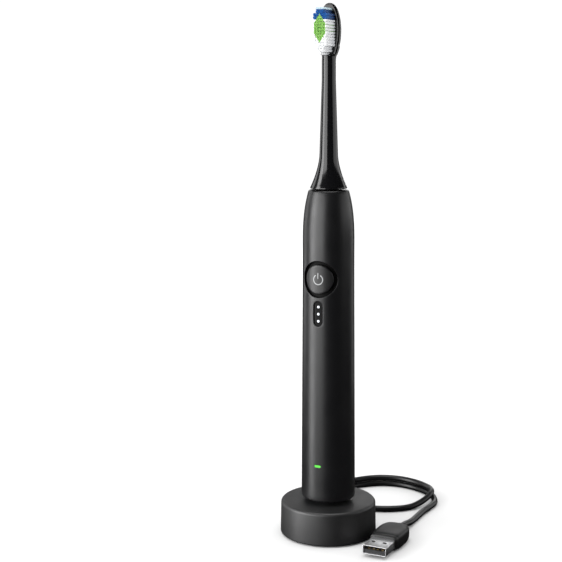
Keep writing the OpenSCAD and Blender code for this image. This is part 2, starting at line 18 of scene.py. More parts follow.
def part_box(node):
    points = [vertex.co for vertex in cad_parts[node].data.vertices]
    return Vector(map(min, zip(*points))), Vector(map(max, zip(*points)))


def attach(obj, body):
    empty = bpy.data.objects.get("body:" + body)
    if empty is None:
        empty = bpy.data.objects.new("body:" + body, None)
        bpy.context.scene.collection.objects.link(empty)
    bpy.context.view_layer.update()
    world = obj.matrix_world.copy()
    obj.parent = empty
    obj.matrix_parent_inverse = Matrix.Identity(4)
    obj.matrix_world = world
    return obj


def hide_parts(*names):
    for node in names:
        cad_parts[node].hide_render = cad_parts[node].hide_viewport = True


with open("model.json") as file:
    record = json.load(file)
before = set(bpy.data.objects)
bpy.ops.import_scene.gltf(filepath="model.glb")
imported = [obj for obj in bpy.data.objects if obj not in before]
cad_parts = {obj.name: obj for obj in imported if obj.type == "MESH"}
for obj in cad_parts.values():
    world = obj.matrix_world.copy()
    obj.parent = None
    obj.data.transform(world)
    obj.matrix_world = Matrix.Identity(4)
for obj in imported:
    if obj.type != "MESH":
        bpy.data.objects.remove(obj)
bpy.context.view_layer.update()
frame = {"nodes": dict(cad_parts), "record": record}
nodes = frame["nodes"]
slot_of = {row["node"]: row["material_slot"] for row in frame["record"]["subparts"]}

# %% [markdown]
# ## Where things are
# The brush and the button face -Y.

# %% Read the driving places
MM = 0.001
charger_low, charger_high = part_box("charger_housing")
handset_low, handset_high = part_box("handset_housing")
brush_low, brush_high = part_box("brush_shell")
button_low, button_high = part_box("power_button")
window_low, window_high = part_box("mode_dots")
lens_low, lens_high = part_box("charge_lens")
plug_low, plug_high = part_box("plug_body")
shell_low, shell_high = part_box("plug_shell")

charger_r = charger_high.x
handset_r = handset_high.x
handset_z = handset_low.z
handset_top = handset_high.z
button_z = (button_low.z + button_high.z) / 2
button_r = (button_high.x - button_low.x) / 2
window_z = (window_low.z + window_high.z) / 2
charge_z = (lens_low.z + lens_high.z) / 2
brush_z = brush_low.z
brush_top = brush_high.z
print("handset from", round(handset_z, 4), "to", round(handset_top, 4))

# %% [markdown]
# ## The camera
# Product pictures of tall, slim objects are taken from a little above with a long lens, so that
# the sides stay nearly parallel. The brush is turned so that its front looks past the camera on
# one side, which shows the bristles and the button at three quarters.

# %% Place the camera
VIEW_TURN = math.radians(26)
VIEW_DROP = math.radians(8.8)
VIEW_DISTANCE = 0.60
VIEW_HEIGHT = 0.222
VIEW_ASIDE = -0.0235
VIEW_ROLL = math.radians(-0.26)
LENS = 78.7
SENSOR = 36


def studio(aside, away, up):
    """A point given as seen from the camera, turned into the frame's own axes."""
    turned = Matrix.Rotation(VIEW_TURN, 3, "Z") @ Vector((aside, away, 0))
    return Vector((turned.x, turned.y, up))


def new_object(name, data):
    """An object at the origin, linked into the scene."""
    made = bpy.data.objects.new(name, data)
    bpy.context.scene.collection.objects.link(made)
    return made


camera_data = bpy.data.cameras.new("studio_camera")
camera_data.lens = LENS
camera_data.sensor_width = SENSOR
camera_data.clip_start = 0.01
camera = new_object("studio_camera", camera_data)
camera.location = studio(VIEW_ASIDE, -VIEW_DISTANCE, VIEW_HEIGHT)
tilt = Matrix.Rotation(VIEW_TURN, 3, "Z") @ Matrix.Rotation(math.pi / 2 - VIEW_DROP, 3, "X")
camera.rotation_euler = (tilt @ Matrix.Rotation(VIEW_ROLL, 3, "Z")).to_euler()
bpy.context.scene.camera = camera
print("camera at", [round(value, 3) for value in camera.location])

# %% [markdown]
# ## Small helpers
# Each new piece is a bmesh that becomes an object at the origin, with its place in its mesh. It
# rides on a body of the frame, gets its material, and may stand for mechanical nodes, which are
# then hidden.

# %% Helpers for pieces
def add_piece(name, mesh_data, body, material, stands_for=()):
    """A piece that rides on a body and hides the nodes it stands for."""
    piece = new_object(name, mesh_data)
    if not piece.data.materials:
        piece.data.materials.append(material)
    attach(piece, body)
    if stands_for:
        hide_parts(*stands_for)
    return piece


def to_mesh(name, bm, merge=1e-6, recalc=True):
    """Merges doubles, turns the faces outwards and writes a smooth mesh."""
    bmesh.ops.remove_doubles(bm, verts=bm.verts[:], dist=merge)
    if recalc:
        bmesh.ops.recalc_face_normals(bm, faces=bm.faces[:])
    mesh_data = bpy.data.meshes.new(name)
    bm.to_mesh(mesh_data)
    bm.free()
    for face in mesh_data.polygons:
        face.use_smooth = True
    return mesh_data


def round_edges(piece, width, segments=3, angle=40):
    """Rounds every edge sharper than angle with a Bevel modifier."""
    bevel = piece.modifiers.new("rounded_edges", "BEVEL")
    bevel.width = width
    bevel.segments = segments
    bevel.limit_method = "ANGLE"
    bevel.angle_limit = math.radians(angle)


def lathe(outline, steps=128):
    """Spins an outline of (radius, height) points once round Z."""
    bm = bmesh.new()
    line = [bm.verts.new((radius, 0, height)) for radius, height in outline]
    edges = [bm.edges.new(pair) for pair in zip(line, line[1:])]
    bmesh.ops.spin(bm, geom=line + edges, cent=(0, 0, 0), axis=(0, 0, 1), angle=math.tau,
                   steps=steps, use_merge=True, use_duplicate=False)
    return bm


def quarter(centre_r, centre_z, radius, start, end, steps=6):
    """Points of an arc, in degrees, for a lathe outline."""
    angles = [math.radians(start + (end - start) * i / steps) for i in range(steps + 1)]
    return [(centre_r + radius * math.cos(a), centre_z + radius * math.sin(a)) for a in angles]


print("helpers ready")

# %% [markdown]
# ## Plastics
# Moulded black plastic is never one flat colour. Its tool was spark eroded, which leaves a fine
# grain; handling polishes it here and there. So each plastic has three layers of noise on Object
# coordinates: a fine one for the bump, a broad one for roughness and a broad one for colour.
# What is the same all over, such as how strongly it reflects, is set on the shader's own socket.

# %% Make a plastic
POLISHED = 0.82
BRUSHED = 0.93
GRAIN_HEIGHT = 0.03 * MM


def noise(tree, where, scale, detail=3.0):
    """Clouds of a given fineness at a place in the object."""
    texture = tree.nodes.new("ShaderNodeTexNoise")
    texture.inputs["Scale"].default_value = scale
    texture.inputs["Detail"].default_value = detail
    tree.links.new(where, texture.inputs["Vector"])
    return texture.outputs["Fac"]


def spread(tree, value, low, high):
    """Maps a noise to the stretch between low and high."""
    node = tree.nodes.new("ShaderNodeMapRange")
    node.inputs["From Min"].default_value = 0.3
    node.inputs["From Max"].default_value = 0.7
    node.inputs["To Min"].default_value = low
    node.inputs["To Max"].default_value = high
    tree.links.new(value, node.inputs["Value"])
    return node.outputs["Result"]


def two_tone(tree, factor, first, second):
    """The first colour where factor is 0 and the second where it is 1."""
    mix = tree.nodes.new("ShaderNodeMix")
    mix.data_type = "RGBA"
    mix.inputs["A"].default_value = (*first, 1)
    mix.inputs["B"].default_value = (*second, 1)
    tree.links.new(factor, mix.inputs["Factor"])
    return mix.outputs["Result"]


def new_material(name):
    """A material, its node tree, its shader and the place in the object."""
    material = bpy.data.materials.new(name)
    material.use_nodes = True
    tree = material.node_tree
    where = tree.nodes.new("ShaderNodeTexCoord").outputs["Object"]
    return material, tree, tree.nodes["Principled BSDF"], where


def plastic(name, colour, roughness, grain=6000.0, grain_depth=0.15, wear=0.04, specular=0.5):
    """Moulded plastic with a fine grain and faint wear."""
    material, tree, shader, where = new_material(name)
    dark = tuple(channel * POLISHED for channel in colour)
    tree.links.new(two_tone(tree, noise(tree, where, 45), dark, colour),
                   shader.inputs["Base Color"])
    tree.links.new(spread(tree, noise(tree, where, 90), roughness - wear, roughness + wear),
                   shader.inputs["Roughness"])
    bump = tree.nodes.new("ShaderNodeBump")
    bump.inputs["Strength"].default_value = grain_depth
    bump.inputs["Distance"].default_value = GRAIN_HEIGHT
    tree.links.new(noise(tree, where, grain, 2.0), bump.inputs["Height"])
    tree.links.new(bump.outputs["Normal"], shader.inputs["Normal"])
    shader.inputs["Specular IOR Level"].default_value = specular
    return material


def metal(name, colour, roughness, brushing=(400, 400, 4000), wear=0.06):
    """Metal with fine lines along the long way of the brushing."""
    material, tree, shader, where = new_material(name)
    mapping = tree.nodes.new("ShaderNodeMapping")
    mapping.inputs["Scale"].default_value = brushing
    tree.links.new(where, mapping.inputs["Vector"])
    lines = noise(tree, mapping.outputs["Vector"], 1.0, 4.0)
    dark = tuple(channel * BRUSHED for channel in colour)
    tree.links.new(two_tone(tree, lines, dark, colour), shader.inputs["Base Color"])
    tree.links.new(spread(tree, lines, roughness - wear, roughness + wear),
                   shader.inputs["Roughness"])
    shader.inputs["Metallic"].default_value = 1.0
    return material


handset_black = plastic("handset_black", (0.0035, 0.0035, 0.0042), 0.36)
charger_black = plastic("charger_black", (0.0040, 0.0040, 0.0045), 0.50, specular=0.9)
brush_black = plastic("brush_black", (0.0030, 0.0030, 0.0034), 0.14, grain_depth=0.05, wear=0.02)
button_black = plastic("button_black", (0.0050, 0.0050, 0.0056), 0.40)
cord_black = plastic("cord_black", (0.0040, 0.0040, 0.0044), 0.34, grain=2500)
grip_black = plastic("grip_black", (0.0040, 0.0040, 0.0044), 0.46, grain=4000, grain_depth=0.2)
rubber_black = plastic("rubber_black", (0.0015, 0.0015, 0.0016), 0.62, specular=0.12)
nickel = metal("nickel", (0.84, 0.84, 0.85), 0.42, (900, 90, 900), wear=0.03)
print("finishes so far:", len(bpy.data.materials))

# %% [markdown]
# ## The cord
# A thin round cord of PVC keeps the shape it was laid in. It leaves the back of the charger
# through a strain relief, makes about one and a half turns that lie on each other, and runs to
# the plug. The route is a list of points, given in millimetres, in a plan whose Y axis points
# straight out of the exit. HIGH and LOW are the middles of the upper and the lower turn.
# The same points drive the mechanical model, so the two agree.

# %% Lay the cord
CORD_D = 3.2 * MM
RELIEF_L = 13 * MM
EXIT_TURN = math.radians(26)
EXIT_Z = 6.5
HIGH = 4.9
LOW = 1.6
PLUG_X = 35.2
PLUG_REAR = 10.6
PLUG_Z = 4.0
rear_turn = [(18, 67.5), (26, 70.8), (34, 71.8), (42, 70), (49, 65.6), (54.8, 59)]
front_turn = [(42, 29.9), (37.5, 28.8), (32.5, 28.4), (27, 28.9), (21, 31),
              (15.5, 34.6), (11, 39.6), (8.2, 45.5), (7.6, 51.5), (9, 57), (12.5, 62.6)]
cord_plan = [(0, charger_r / MM + RELIEF_L / MM, EXIT_Z), (0, 42, 6.2), (0.6, 47, 5.6),
             (2.2, 53, HIGH), (5.6, 59, HIGH), (11, 64.2, HIGH)]
cord_plan += [(x, y, HIGH) for x, y in rear_turn]
cord_plan += [(58.2, 51.4, HIGH), (57.6, 44.6, 4.5), (53.2, 38, 3.1), (47, 32.3, 1.9)]
cord_plan += [(x, y, LOW) for x, y in front_turn]
cord_plan += [(x, y, LOW) for x, y in rear_turn]
cord_plan += [(58.6, 51.6, LOW), (59.6, 44.6, LOW), (58.6, 37.6, LOW), (55, 30.6, LOW),
              (51, 24, LOW), (48.4, 19, LOW), (46.2, 14.5, LOW), (44, 10, 1.7), (41.6, 5, 2.3),
              (39.4, 0.3, 3.4), (37.6, -3.4, PLUG_Z - 0.1)]
turn = Matrix.Rotation(EXIT_TURN, 3, "Z")
cord_route = [turn @ Vector(point) * MM for point in cord_plan]
cord_route.append(Vector((PLUG_X, PLUG_REAR, PLUG_Z)) * MM)


def smooth_path(points, steps):
    """A smooth curve that passes through every point."""
    path = []
    for i in range(len(points) - 1):
        a, b = points[max(i - 1, 0)], points[i]
        c, d = points[i + 1], points[min(i + 2, len(points) - 1)]
        for k in range(steps):
            t = k / steps
            path.append(0.5 * (2 * b + (c - a) * t + (2 * a - 5 * b + 4 * c - d) * t ** 2
                               + (3 * b - a - 3 * c + d) * t ** 3))
    path.append(points[-1])
    for place in path:
        place.z = max(place.z, LOW * MM)    # the curve may not dip into the shelf
    return path


cord_path = smooth_path(cord_route, 6)
cord_curve = bpy.data.curves.new("charger_cord", "CURVE")
cord_curve.dimensions = "3D"
cord_curve.bevel_depth = CORD_D / 2
cord_curve.bevel_resolution = 5
cord_curve.use_fill_caps = True
cord_line = cord_curve.splines.new("POLY")
cord_line.points.add(len(cord_path) - 1)
for spot, place in zip(cord_line.points, cord_path):
    spot.co = (*place, 1)
cord_line.use_smooth = True
charger_cord = add_piece("charger_cord", cord_curve, "charger", cord_black,
                         ["usb_cord"])

# %% [markdown]
# ## The strain relief
# Where the cord leaves the charger, a tapered boot keeps it from kinking. Its ribs let it bend.
# A lathe outline gives the taper and the ribs, and the finished boot is turned to the exit.

# %% Make the boot
BOOT_RIBS = 4
RIB_PITCH = 2.4 * MM
RIB_GAP = 0.8 * MM
RIB_EDGE = 0.1 * MM
BOOT_WALL_START = 1.3 * MM
BOOT_WALL_END = 0.4 * MM
BOOT_FLOOR = 0.3 * MM
boot_neck = CORD_D / 2 + 0.8 * MM
boot_start = charger_r - 1.2 * MM
boot_end = charger_r + RELIEF_L


def boot_radius(y):
    """The boot narrows from the charger to the cord."""
    share = min(max((y - charger_r) / RELIEF_L, 0), 1)
    return (CORD_D / 2 + BOOT_WALL_START) * (1 - share) + (CORD_D / 2 + BOOT_WALL_END) * share


outline = [(CORD_D / 2, boot_start), (boot_neck, boot_start), (boot_neck, charger_r + 0.15 * MM),
           (boot_radius(charger_r), charger_r + 0.25 * MM)]
for i in range(1, BOOT_RIBS + 1):
    low = charger_r + i * RIB_PITCH
    high = low + RIB_GAP
    floor_r = CORD_D / 2 + BOOT_FLOOR
    outline += [(boot_radius(low), low), (floor_r, low + RIB_EDGE),
                (floor_r, high), (boot_radius(high), high + RIB_EDGE)]
outline += [(boot_radius(boot_end), boot_end - 0.3 * MM), (CORD_D / 2 + 0.05 * MM, boot_end)]
bm = lathe(outline, 48)
stand = Matrix.Rotation(EXIT_TURN, 4, "Z") @ Matrix.Translation((0, 0, EXIT_Z * MM)) \
    @ Matrix.Rotation(-math.pi / 2, 4, "X")
bmesh.ops.transform(bm, matrix=stand, verts=bm.verts[:])
cord_boot = add_piece("cord_boot", to_mesh("cord_boot", bm), "charger", cord_black,
                      ["strain_relief"])
round_edges(cord_boot, 0.15 * MM, 2)
print("boot length in millimetres:", round(RELIEF_L / MM, 1))

# %% [markdown]
# ## The charger's shell
# The charger is one moulding: a shallow drum with a rounded shoulder, a raised seat for the
# handset and a hollow peg that hides the charging coil. Its whole section, outside and inside,
# is one closed outline, so one spin gives a wall of real thickness. The wall leans in by a hair
# as it rises, so that it leaves its tool.

# %% Spin the charger
CHARGER_WALL = 2.0 * MM
DECK_T = 1.8 * MM
DRAFT = 0.3 * MM
DECK_EDGE = 1.6 * MM
FOOT_EDGE = 0.8 * MM
SEAT_R = 7.6 * MM
SEAT_H = 2.0 * MM
SEAT_EDGE = 0.4 * MM
PEG_R = 3.8 * MM
PEG_H = 9.6 * MM
PEG_EDGE = 1.0 * MM
PEG_FILLET = 0.5 * MM
PEG_WALL = 0.9 * MM
peg_top = charger_high.z
seat_top = peg_top - PEG_H
deck_z = seat_top - SEAT_H
foot_z = charger_low.z
outline = [(0, peg_top)]
outline += quarter(PEG_R - PEG_EDGE, peg_top - PEG_EDGE, PEG_EDGE, 90, 0)
outline += quarter(PEG_R + PEG_FILLET, seat_top + PEG_FILLET, PEG_FILLET, 180, 270)
outline += quarter(SEAT_R - SEAT_EDGE, seat_top - SEAT_EDGE, SEAT_EDGE, 90, 0)
outline += quarter(SEAT_R + SEAT_EDGE, deck_z + SEAT_EDGE, SEAT_EDGE, 180, 270)
outline += quarter(charger_r - DRAFT - DECK_EDGE, deck_z - DECK_EDGE, DECK_EDGE, 90, 0, 12)
outline += quarter(charger_r - FOOT_EDGE, foot_z + FOOT_EDGE, FOOT_EDGE, 0, -90)
outline += [(charger_r - CHARGER_WALL, foot_z), (charger_r - CHARGER_WALL, deck_z - DECK_T),
            (PEG_R - PEG_WALL, deck_z - DECK_T), (PEG_R - PEG_WALL, peg_top - PEG_WALL),
            (0, peg_top - PEG_WALL)]
bm = lathe(outline, 160)
charger_shell = add_piece("charger_shell", to_mesh("charger_shell", bm), "charger",
                          charger_black, ["charger_housing"])
round_edges(charger_shell, 0.12 * MM, 2)
print("deck at", round(deck_z / MM, 2), "peg top at", round(peg_top / MM, 2))

# %% [markdown]
# ## Lofting
# Many pieces are a loop that changes as it travels: the brush neck, the plug's grip, the button.
# This helper starts from a circle, extrudes its edges once for each station and sends every new
# corner to the place that a rule gives for it. A loop whose points all fall together becomes a
# pole when doubles are merged.

# %% The loft helper
def next_ring(bm, ring, edges):
    """Extrudes a ring of edges. Gives the new ring in the same order, and its edges."""
    made = bmesh.ops.extrude_edge_only(bm, edges=edges)["geom"]
    new_verts = {item for item in made if isinstance(item, bmesh.types.BMVert)}
    new_ring = [next(edge.other_vert(vertex) for edge in vertex.link_edges
                     if edge.other_vert(vertex) in new_verts) for vertex in ring]
    new_edges = [item for item in made if isinstance(item, bmesh.types.BMEdge)
                 and item.verts[0] in new_verts and item.verts[1] in new_verts]
    return new_ring, new_edges


def loft(stations, count):
    """stations is a list of rules. Each rule gives a point for a turn between 0 and 1."""
    bm = bmesh.new()
    ring = bmesh.ops.create_circle(bm, segments=count, radius=1)["verts"]
    edges = bm.edges[:]
    for index, rule in enumerate(stations):
        if index:
            ring, edges = next_ring(bm, ring, edges)
        for k, vertex in enumerate(ring):
            vertex.co = rule(k / count)
    return bm


def squircle(turn_share, half_w, half_h, power):
    """A point on a loop between an ellipse (power 2) and a box (a large power)."""
    c = math.cos(math.tau * turn_share)
    s = math.sin(math.tau * turn_share)
    return (half_w * math.copysign(abs(c) ** (2 / power), c),
            half_h * math.copysign(abs(s) ** (2 / power), s))


print("loft ready")

# %% [markdown]
# ## The handset's skin
# The handset is a tube that narrows a little towards the top and rounds in under the brush. The
# skin has three openings: a round one for the button, a pill for the mode lights and a short bar
# for the charge light. An outer and an inner skin are spun, both with the same rows. The faces
# over each opening are deleted, and rings are extruded from the gap's edge to the opening's
# outline, each projected back on the round skin so that no flat spot shows. Bridging the two
# skins at every edge gives the wall.

# %% Shape of the handset
HANDSET_WALL = 1.6 * MM
SHOULDER_R = 12.75 * MM
RIM_R = 10 * MM
SHOULDER_L = 28 * MM
SHOULDER_BEND = 2.8
RIM_EDGE = 0.6 * MM
BOTTOM_EDGE = 1.3 * MM
SEAL_R = 4.6 * MM
TOP_WALL = 2.4 * MM
MOAT = 1.7 * MM
COLUMNS = 120
shoulder_z = handset_top - SHOULDER_L
rim_z = handset_top - 0.2 * MM


def handset_radius(z):
    """Outer radius of the handset at a height."""
    if z <= handset_z + BOTTOM_EDGE:
        rise = max(handset_z + BOTTOM_EDGE - z, 0)
        return handset_r - BOTTOM_EDGE + math.sqrt(max(BOTTOM_EDGE ** 2 - rise ** 2, 0))
    if z <= shoulder_z:
        share = (z - handset_z - BOTTOM_EDGE) / (shoulder_z - handset_z - BOTTOM_EDGE)
        return handset_r + (SHOULDER_R - handset_r) * share
    share = (z - shoulder_z) / (handset_top - RIM_EDGE - shoulder_z)
    return SHOULDER_R - (SHOULDER_R - RIM_R) * min(share, 1) ** SHOULDER_BEND


def on_skin(x, z, inset=0.0):
    """The point of the front skin at x and z."""
    radius = handset_radius(z) - inset
    return Vector((x, -math.sqrt(max(radius ** 2 - x ** 2, 0)), z))


def heights(low, high, step):
    """Even heights from low to high."""
    count = max(round((high - low) / step), 1)
    return [low + (high - low) * i / count for i in range(count + 1)]


rows = [handset_z + BOTTOM_EDGE * (1 - math.cos(math.radians(a))) for a in (0, 18, 36, 54, 72, 90)]
rows += heights(rows[-1], charge_z - 3 * MM, 2 * MM)[1:]
rows += heights(rows[-1], charge_z + 3 * MM, 0.6 * MM)[1:]
rows += heights(rows[-1], window_z - 10 * MM, 5 * MM)[1:]
rows += heights(rows[-1], window_z + 7.7 * MM, 0.9 * MM)[1:]
rows += heights(rows[-1], button_z + 12 * MM, 0.9 * MM)[1:]
rows += heights(rows[-1], handset_top - RIM_EDGE, 1.2 * MM)[1:]
print("rows:", len(rows), "radius at the button:", round(handset_radius(button_z) / MM, 2))

# %% Openings in the skin
def round_opening(angle):
    """Distance from the button's centre to its opening, in any direction."""
    return button_r + MOAT


def pill_opening(half_w, half_l):
    """A rule that gives the distance to the edge of an upright pill."""
    straight = half_l - half_w

    def distance(angle):
        c, s = abs(math.cos(angle)), abs(math.sin(angle))
        if c > 1e-6 and half_w / c * s <= straight:
            return half_w / c
        along = straight * s
        return along + math.sqrt(max(along ** 2 - straight ** 2 + half_w ** 2, 0))
    return distance


def bar_opening(half_w, half_h):
    """A rule for a bar lying across: a pill turned by a quarter."""
    upright = pill_opening(half_h, half_w)
    return lambda angle: upright(angle + math.pi / 2)


LIP_STEPS = 5
# Centre, half width and half height of the patch, rule for the edge, rings, rounding of the lip
OPENINGS = [
    (button_z, 10.6 * MM, 10.6 * MM, round_opening, 6, 0.35 * MM),
    (window_z, 4.0 * MM, 7.6 * MM, pill_opening(2.3 * MM, 6.0 * MM), 3, 0.6 * MM),
    (charge_z, 2.6 * MM, 1.6 * MM, bar_opening(1.7 * MM, 0.6 * MM), 3, 0.1 * MM),
]


def open_skin(bm, opening, radius_of, rounded):
    """Cuts one opening in a skin. Gives the edges of the opening's outline."""
    centre, half_w, half_h, distance, rings, lip = opening

    def in_patch(face):
        middle = face.calc_center_median()
        off_skin = abs(math.hypot(middle.x, middle.y) - radius_of(middle.z))
        return (middle.y < 0 and abs(middle.x) < half_w and abs(middle.z - centre) < half_h
                and off_skin < HANDSET_WALL / 2)

    patch = [face for face in bm.faces if in_patch(face)]
    inside = set(patch)
    border = [edge for edge in {edge for face in patch for edge in face.edges}
              if sum(other in inside for other in edge.link_faces) == 1]
    bmesh.ops.delete(bm, geom=patch, context="FACES")
    edges = [edge for edge in border if edge.is_valid]
    ring = sorted({vertex for edge in edges for vertex in edge.verts},
                  key=lambda vertex: math.atan2(vertex.co.z - centre, vertex.co.x))
    starts = [(vertex.co.x, vertex.co.z - centre) for vertex in ring]
    steps = [(k / rings, lip, 0) for k in range(1, rings + 1)]
    for k in range(1, LIP_STEPS + 1):
        turned = math.radians(90 * k / LIP_STEPS)
        steps.append((1, lip * (1 - math.sin(turned)), lip * (1 - math.cos(turned)) * rounded))
    for share, margin, sink in steps:
        ring, edges = next_ring(bm, ring, edges)
        for vertex, (x, z) in zip(ring, starts):
            angle = math.atan2(z, x)
            reach = distance(angle) + margin
            new_x = x + (reach * math.cos(angle) - x) * share
            new_z = centre + z + (reach * math.sin(angle) - z) * share
            radius = radius_of(new_z)
            vertex.co = (new_x, sink - math.sqrt(max(radius ** 2 - new_x ** 2, 0)), new_z)
    return edges


def spin_skin(bm, outline, radius_of, rounded):
    """Spins one skin and cuts its three openings, rounded 1 on the outer skin and 0 inside."""
    line = [bm.verts.new((0, -radius, z)) for radius, z in outline]
    edges = [bm.edges.new(pair) for pair in zip(line, line[1:])]
    bmesh.ops.spin(bm, geom=line + edges, cent=(0, 0, 0), axis=(0, 0, 1), angle=math.tau,
                   steps=COLUMNS, use_merge=True, use_duplicate=False)
    return [open_skin(bm, opening, radius_of, rounded) for opening in OPENINGS]


def inner_radius(z):
    """Inner radius of the handset at a height."""
    return handset_radius(max(z, handset_z + BOTTOM_EDGE)) - HANDSET_WALL


ceiling_z = handset_top - TOP_WALL
foot_ring = (handset_radius(handset_z), handset_z)
bm = bmesh.new()
outer_line = [(handset_radius(z), z) for z in rows]
outer_line += [(RIM_R - 0.2 * MM, rim_z), (RIM_R - RIM_EDGE, handset_top), (SEAL_R, handset_top)]
outer_openings = spin_skin(bm, outer_line, handset_radius, 1)
inner_line = [foot_ring, (inner_radius(handset_z), handset_z)]
inner_line += [(inner_radius(z), z) for z in rows[1:] if z < ceiling_z - 0.4 * MM]
inner_line += [(inner_radius(ceiling_z), ceiling_z), (SEAL_R, ceiling_z), (SEAL_R, handset_top)]
inner_openings = spin_skin(bm, inner_line, inner_radius, 0)
for outer_edges, inner_edges in zip(outer_openings, inner_openings):
    bmesh.ops.bridge_loops(bm, edges=outer_edges + inner_edges)
handset_shell = add_piece("handset_shell", to_mesh("handset_shell", bm, 1e-7), "handset",
                          handset_black, ["handset_housing"])
round_edges(handset_shell, 0.2 * MM, 3, 50)
print("handset faces:", len(handset_shell.data.polygons))

# %% [markdown]
# ## The button and its mark
# The button is a cap that follows the handset's round skin, with a rounded edge. It is lofted
# from its middle outwards: a small loop, wider loops that lie on the skin, the edge, then the
# skirt and the hollow inside. The mark is the usual open ring with an upright stroke, printed
# in grey. Each of its two strokes is a strip laid on the cap.

# %% Loft the button
BUTTON_INSET = 0.1 * MM
BUTTON_EDGE = 0.5 * MM
BUTTON_WALL = 1.2 * MM
BUTTON_SKIRT_Y = button_high.y
BUTTON_PLATE_Y = -9.6 * MM


def on_button(distance, sink=0.0):
    """A loft rule: a loop at a distance from the button's centre, sunk into the skin."""
    def rule(share):
        x = distance * math.cos(math.tau * share)
        z = button_z + distance * math.sin(math.tau * share)
        point = on_skin(x, z, BUTTON_INSET)
        return point + Vector((0, sink, 0))
    return rule


def flat_loop(distance, y):
    """A loft rule: a loop at a distance from the button's centre, in a plane."""
    return lambda share: Vector((distance * math.cos(math.tau * share), y,
                                 button_z + distance * math.sin(math.tau * share)))


stations = [on_button(0)]
stations += [on_button((button_r - BUTTON_EDGE) * k / 8) for k in range(1, 9)]
for k in range(1, 5):
    a = math.radians(22.5 * k)
    stations.append(on_button(button_r - BUTTON_EDGE * (1 - math.sin(a)),
                              BUTTON_EDGE * (1 - math.cos(a))))
stations += [flat_loop(button_r, BUTTON_SKIRT_Y),
             flat_loop(button_r - BUTTON_WALL, BUTTON_SKIRT_Y),
             flat_loop(button_r - BUTTON_WALL, BUTTON_PLATE_Y), flat_loop(0, BUTTON_PLATE_Y)]
bm = loft(stations, 96)
add_piece("button_cap", to_mesh("button_cap", bm), "button", button_black,
          ["power_button"])
print("button radius in millimetres:", round(button_r / MM, 2))

# %% Lay the power mark
MARK_R = 2.4 * MM
STROKE = 0.5 * MM
MARK_GAP = math.radians(29)
MARK_PROUD = 0.03 * MM
MARK_T = 0.08 * MM
UPRIGHT_LOW = 0.4 * MM
UPRIGHT_L = 2.9 * MM
END_WIDTH = 0.72


def strip(bm, centre_line, half_width, cells):
    """A strip on the button along centre_line, which gives a point and a sideways way."""
    grid = bmesh.ops.create_grid(bm, x_segments=cells, y_segments=3, size=1)["verts"]
    for vertex in grid:
        along = (vertex.co.x + 1) / 2
        across = vertex.co.y
        ends = min(along, 1 - along) * 2 * cells
        width = half_width * (END_WIDTH if ends < 0.5 else 1)
        (x, z), (side_x, side_z) = centre_line(along)
        vertex.co = on_skin(x + side_x * across * width, button_z + z + side_z * across * width,
                            BUTTON_INSET - MARK_PROUD)


def broken_ring(along):
    """The open ring: a point and its outward way."""
    angle = math.pi / 2 + MARK_GAP + (math.tau - 2 * MARK_GAP) * along
    way = (math.cos(angle), math.sin(angle))
    return (MARK_R * way[0], MARK_R * way[1]), way


def upright(along):
    """The stroke: a point and its sideways way."""
    return (0, UPRIGHT_LOW + UPRIGHT_L * along), (1, 0)


bm = bmesh.new()
strip(bm, broken_ring, STROKE / 2, 64)
strip(bm, upright, STROKE / 2, 12)
bmesh.ops.recalc_face_normals(bm, faces=bm.faces[:])
bmesh.ops.solidify(bm, geom=bm.faces[:], thickness=MARK_T)
symbol_grey = plastic("symbol_grey", (0.26, 0.265, 0.27), 0.5, grain_depth=0.05)
add_piece("power_mark", to_mesh("power_mark", bm, 1e-7), "button", symbol_grey,
          ["power_symbol"])
print("mark radius in millimetres:", round(MARK_R / MM, 2))

# %% [markdown]
# ## The brush's neck and head
# The brush is one glossy moulding. A flared skirt drops into a slim neck, and the neck ends in a
# small step where the flat face for the bristles begins. The head is oval, flat in front and
# round behind. All of it is one loft from the inside of the skirt, round its rim and up to a pole
# at the tip. Each station says how wide the loop is and how far it reaches to the front and back.

# %% Loft the brush
SKIRT_R = 9.05 * MM
SKIRT_WALL = 1.3 * MM
SKIRT_DROP = 0.45 * MM
FLARE_L = 16.5 * MM
FLARE_BEND = 1.7
NECK_R = 4.5 * MM
NECK_TOP_R = 3.4 * MM
NECK_L = 52 * MM
HEAD_W = 5.7 * MM
HEAD_L = 13.0 * MM
HEAD_FRONT = -0.4 * MM
HEAD_BACK = 4.0 * MM
HEAD_MIDDLE = 1.3 * MM
TIP_BACK = 3.0 * MM
TIP_FRONT = 0.9 * MM
STEP_DROP = 24.6 * MM
STEP_HALF = 0.25 * MM
SOCKET_R = 3.6 * MM
SOCKET_MOUTH = 5.5 * MM
head_z = brush_top - HEAD_L
step_z = brush_top - STEP_DROP
skirt_z = brush_z - SKIRT_DROP
socket_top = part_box("shaft_socket")[1].z


def neck_radius(rise):
    """Radius of the skirt and neck at a height above the skirt's rim."""
    if rise < FLARE_L:
        return NECK_R + (SKIRT_R - NECK_R) * (1 - rise / FLARE_L) ** FLARE_BEND
    share = min((rise - FLARE_L) / (NECK_L - FLARE_L), 1)
    return NECK_R - (NECK_R - NECK_TOP_R) * share


def circle_at(radius, z):
    """A loft rule: a plain round loop."""
    return lambda share: Vector((radius * math.cos(math.tau * share),
                                 radius * math.sin(math.tau * share), z))


def section(half_w, front, back, z, square, middle):
    """A loft rule: a loop with its own reach to the front and back, squarer in front."""
    def rule(share):
        s = math.sin(math.tau * share)
        reach = middle - front if s < 0 else back - middle
        x, y = squircle(share, half_w, reach, square if s < 0 else 2 + (square - 2) * 0.15)
        return Vector((x, middle + y, z))
    return rule


def blend_between(low, high, value):
    """0 below low, 1 above high, and a soft turn between them."""
    share = min(max((value - low) / (high - low), 0), 1)
    return share * share * (3 - 2 * share)


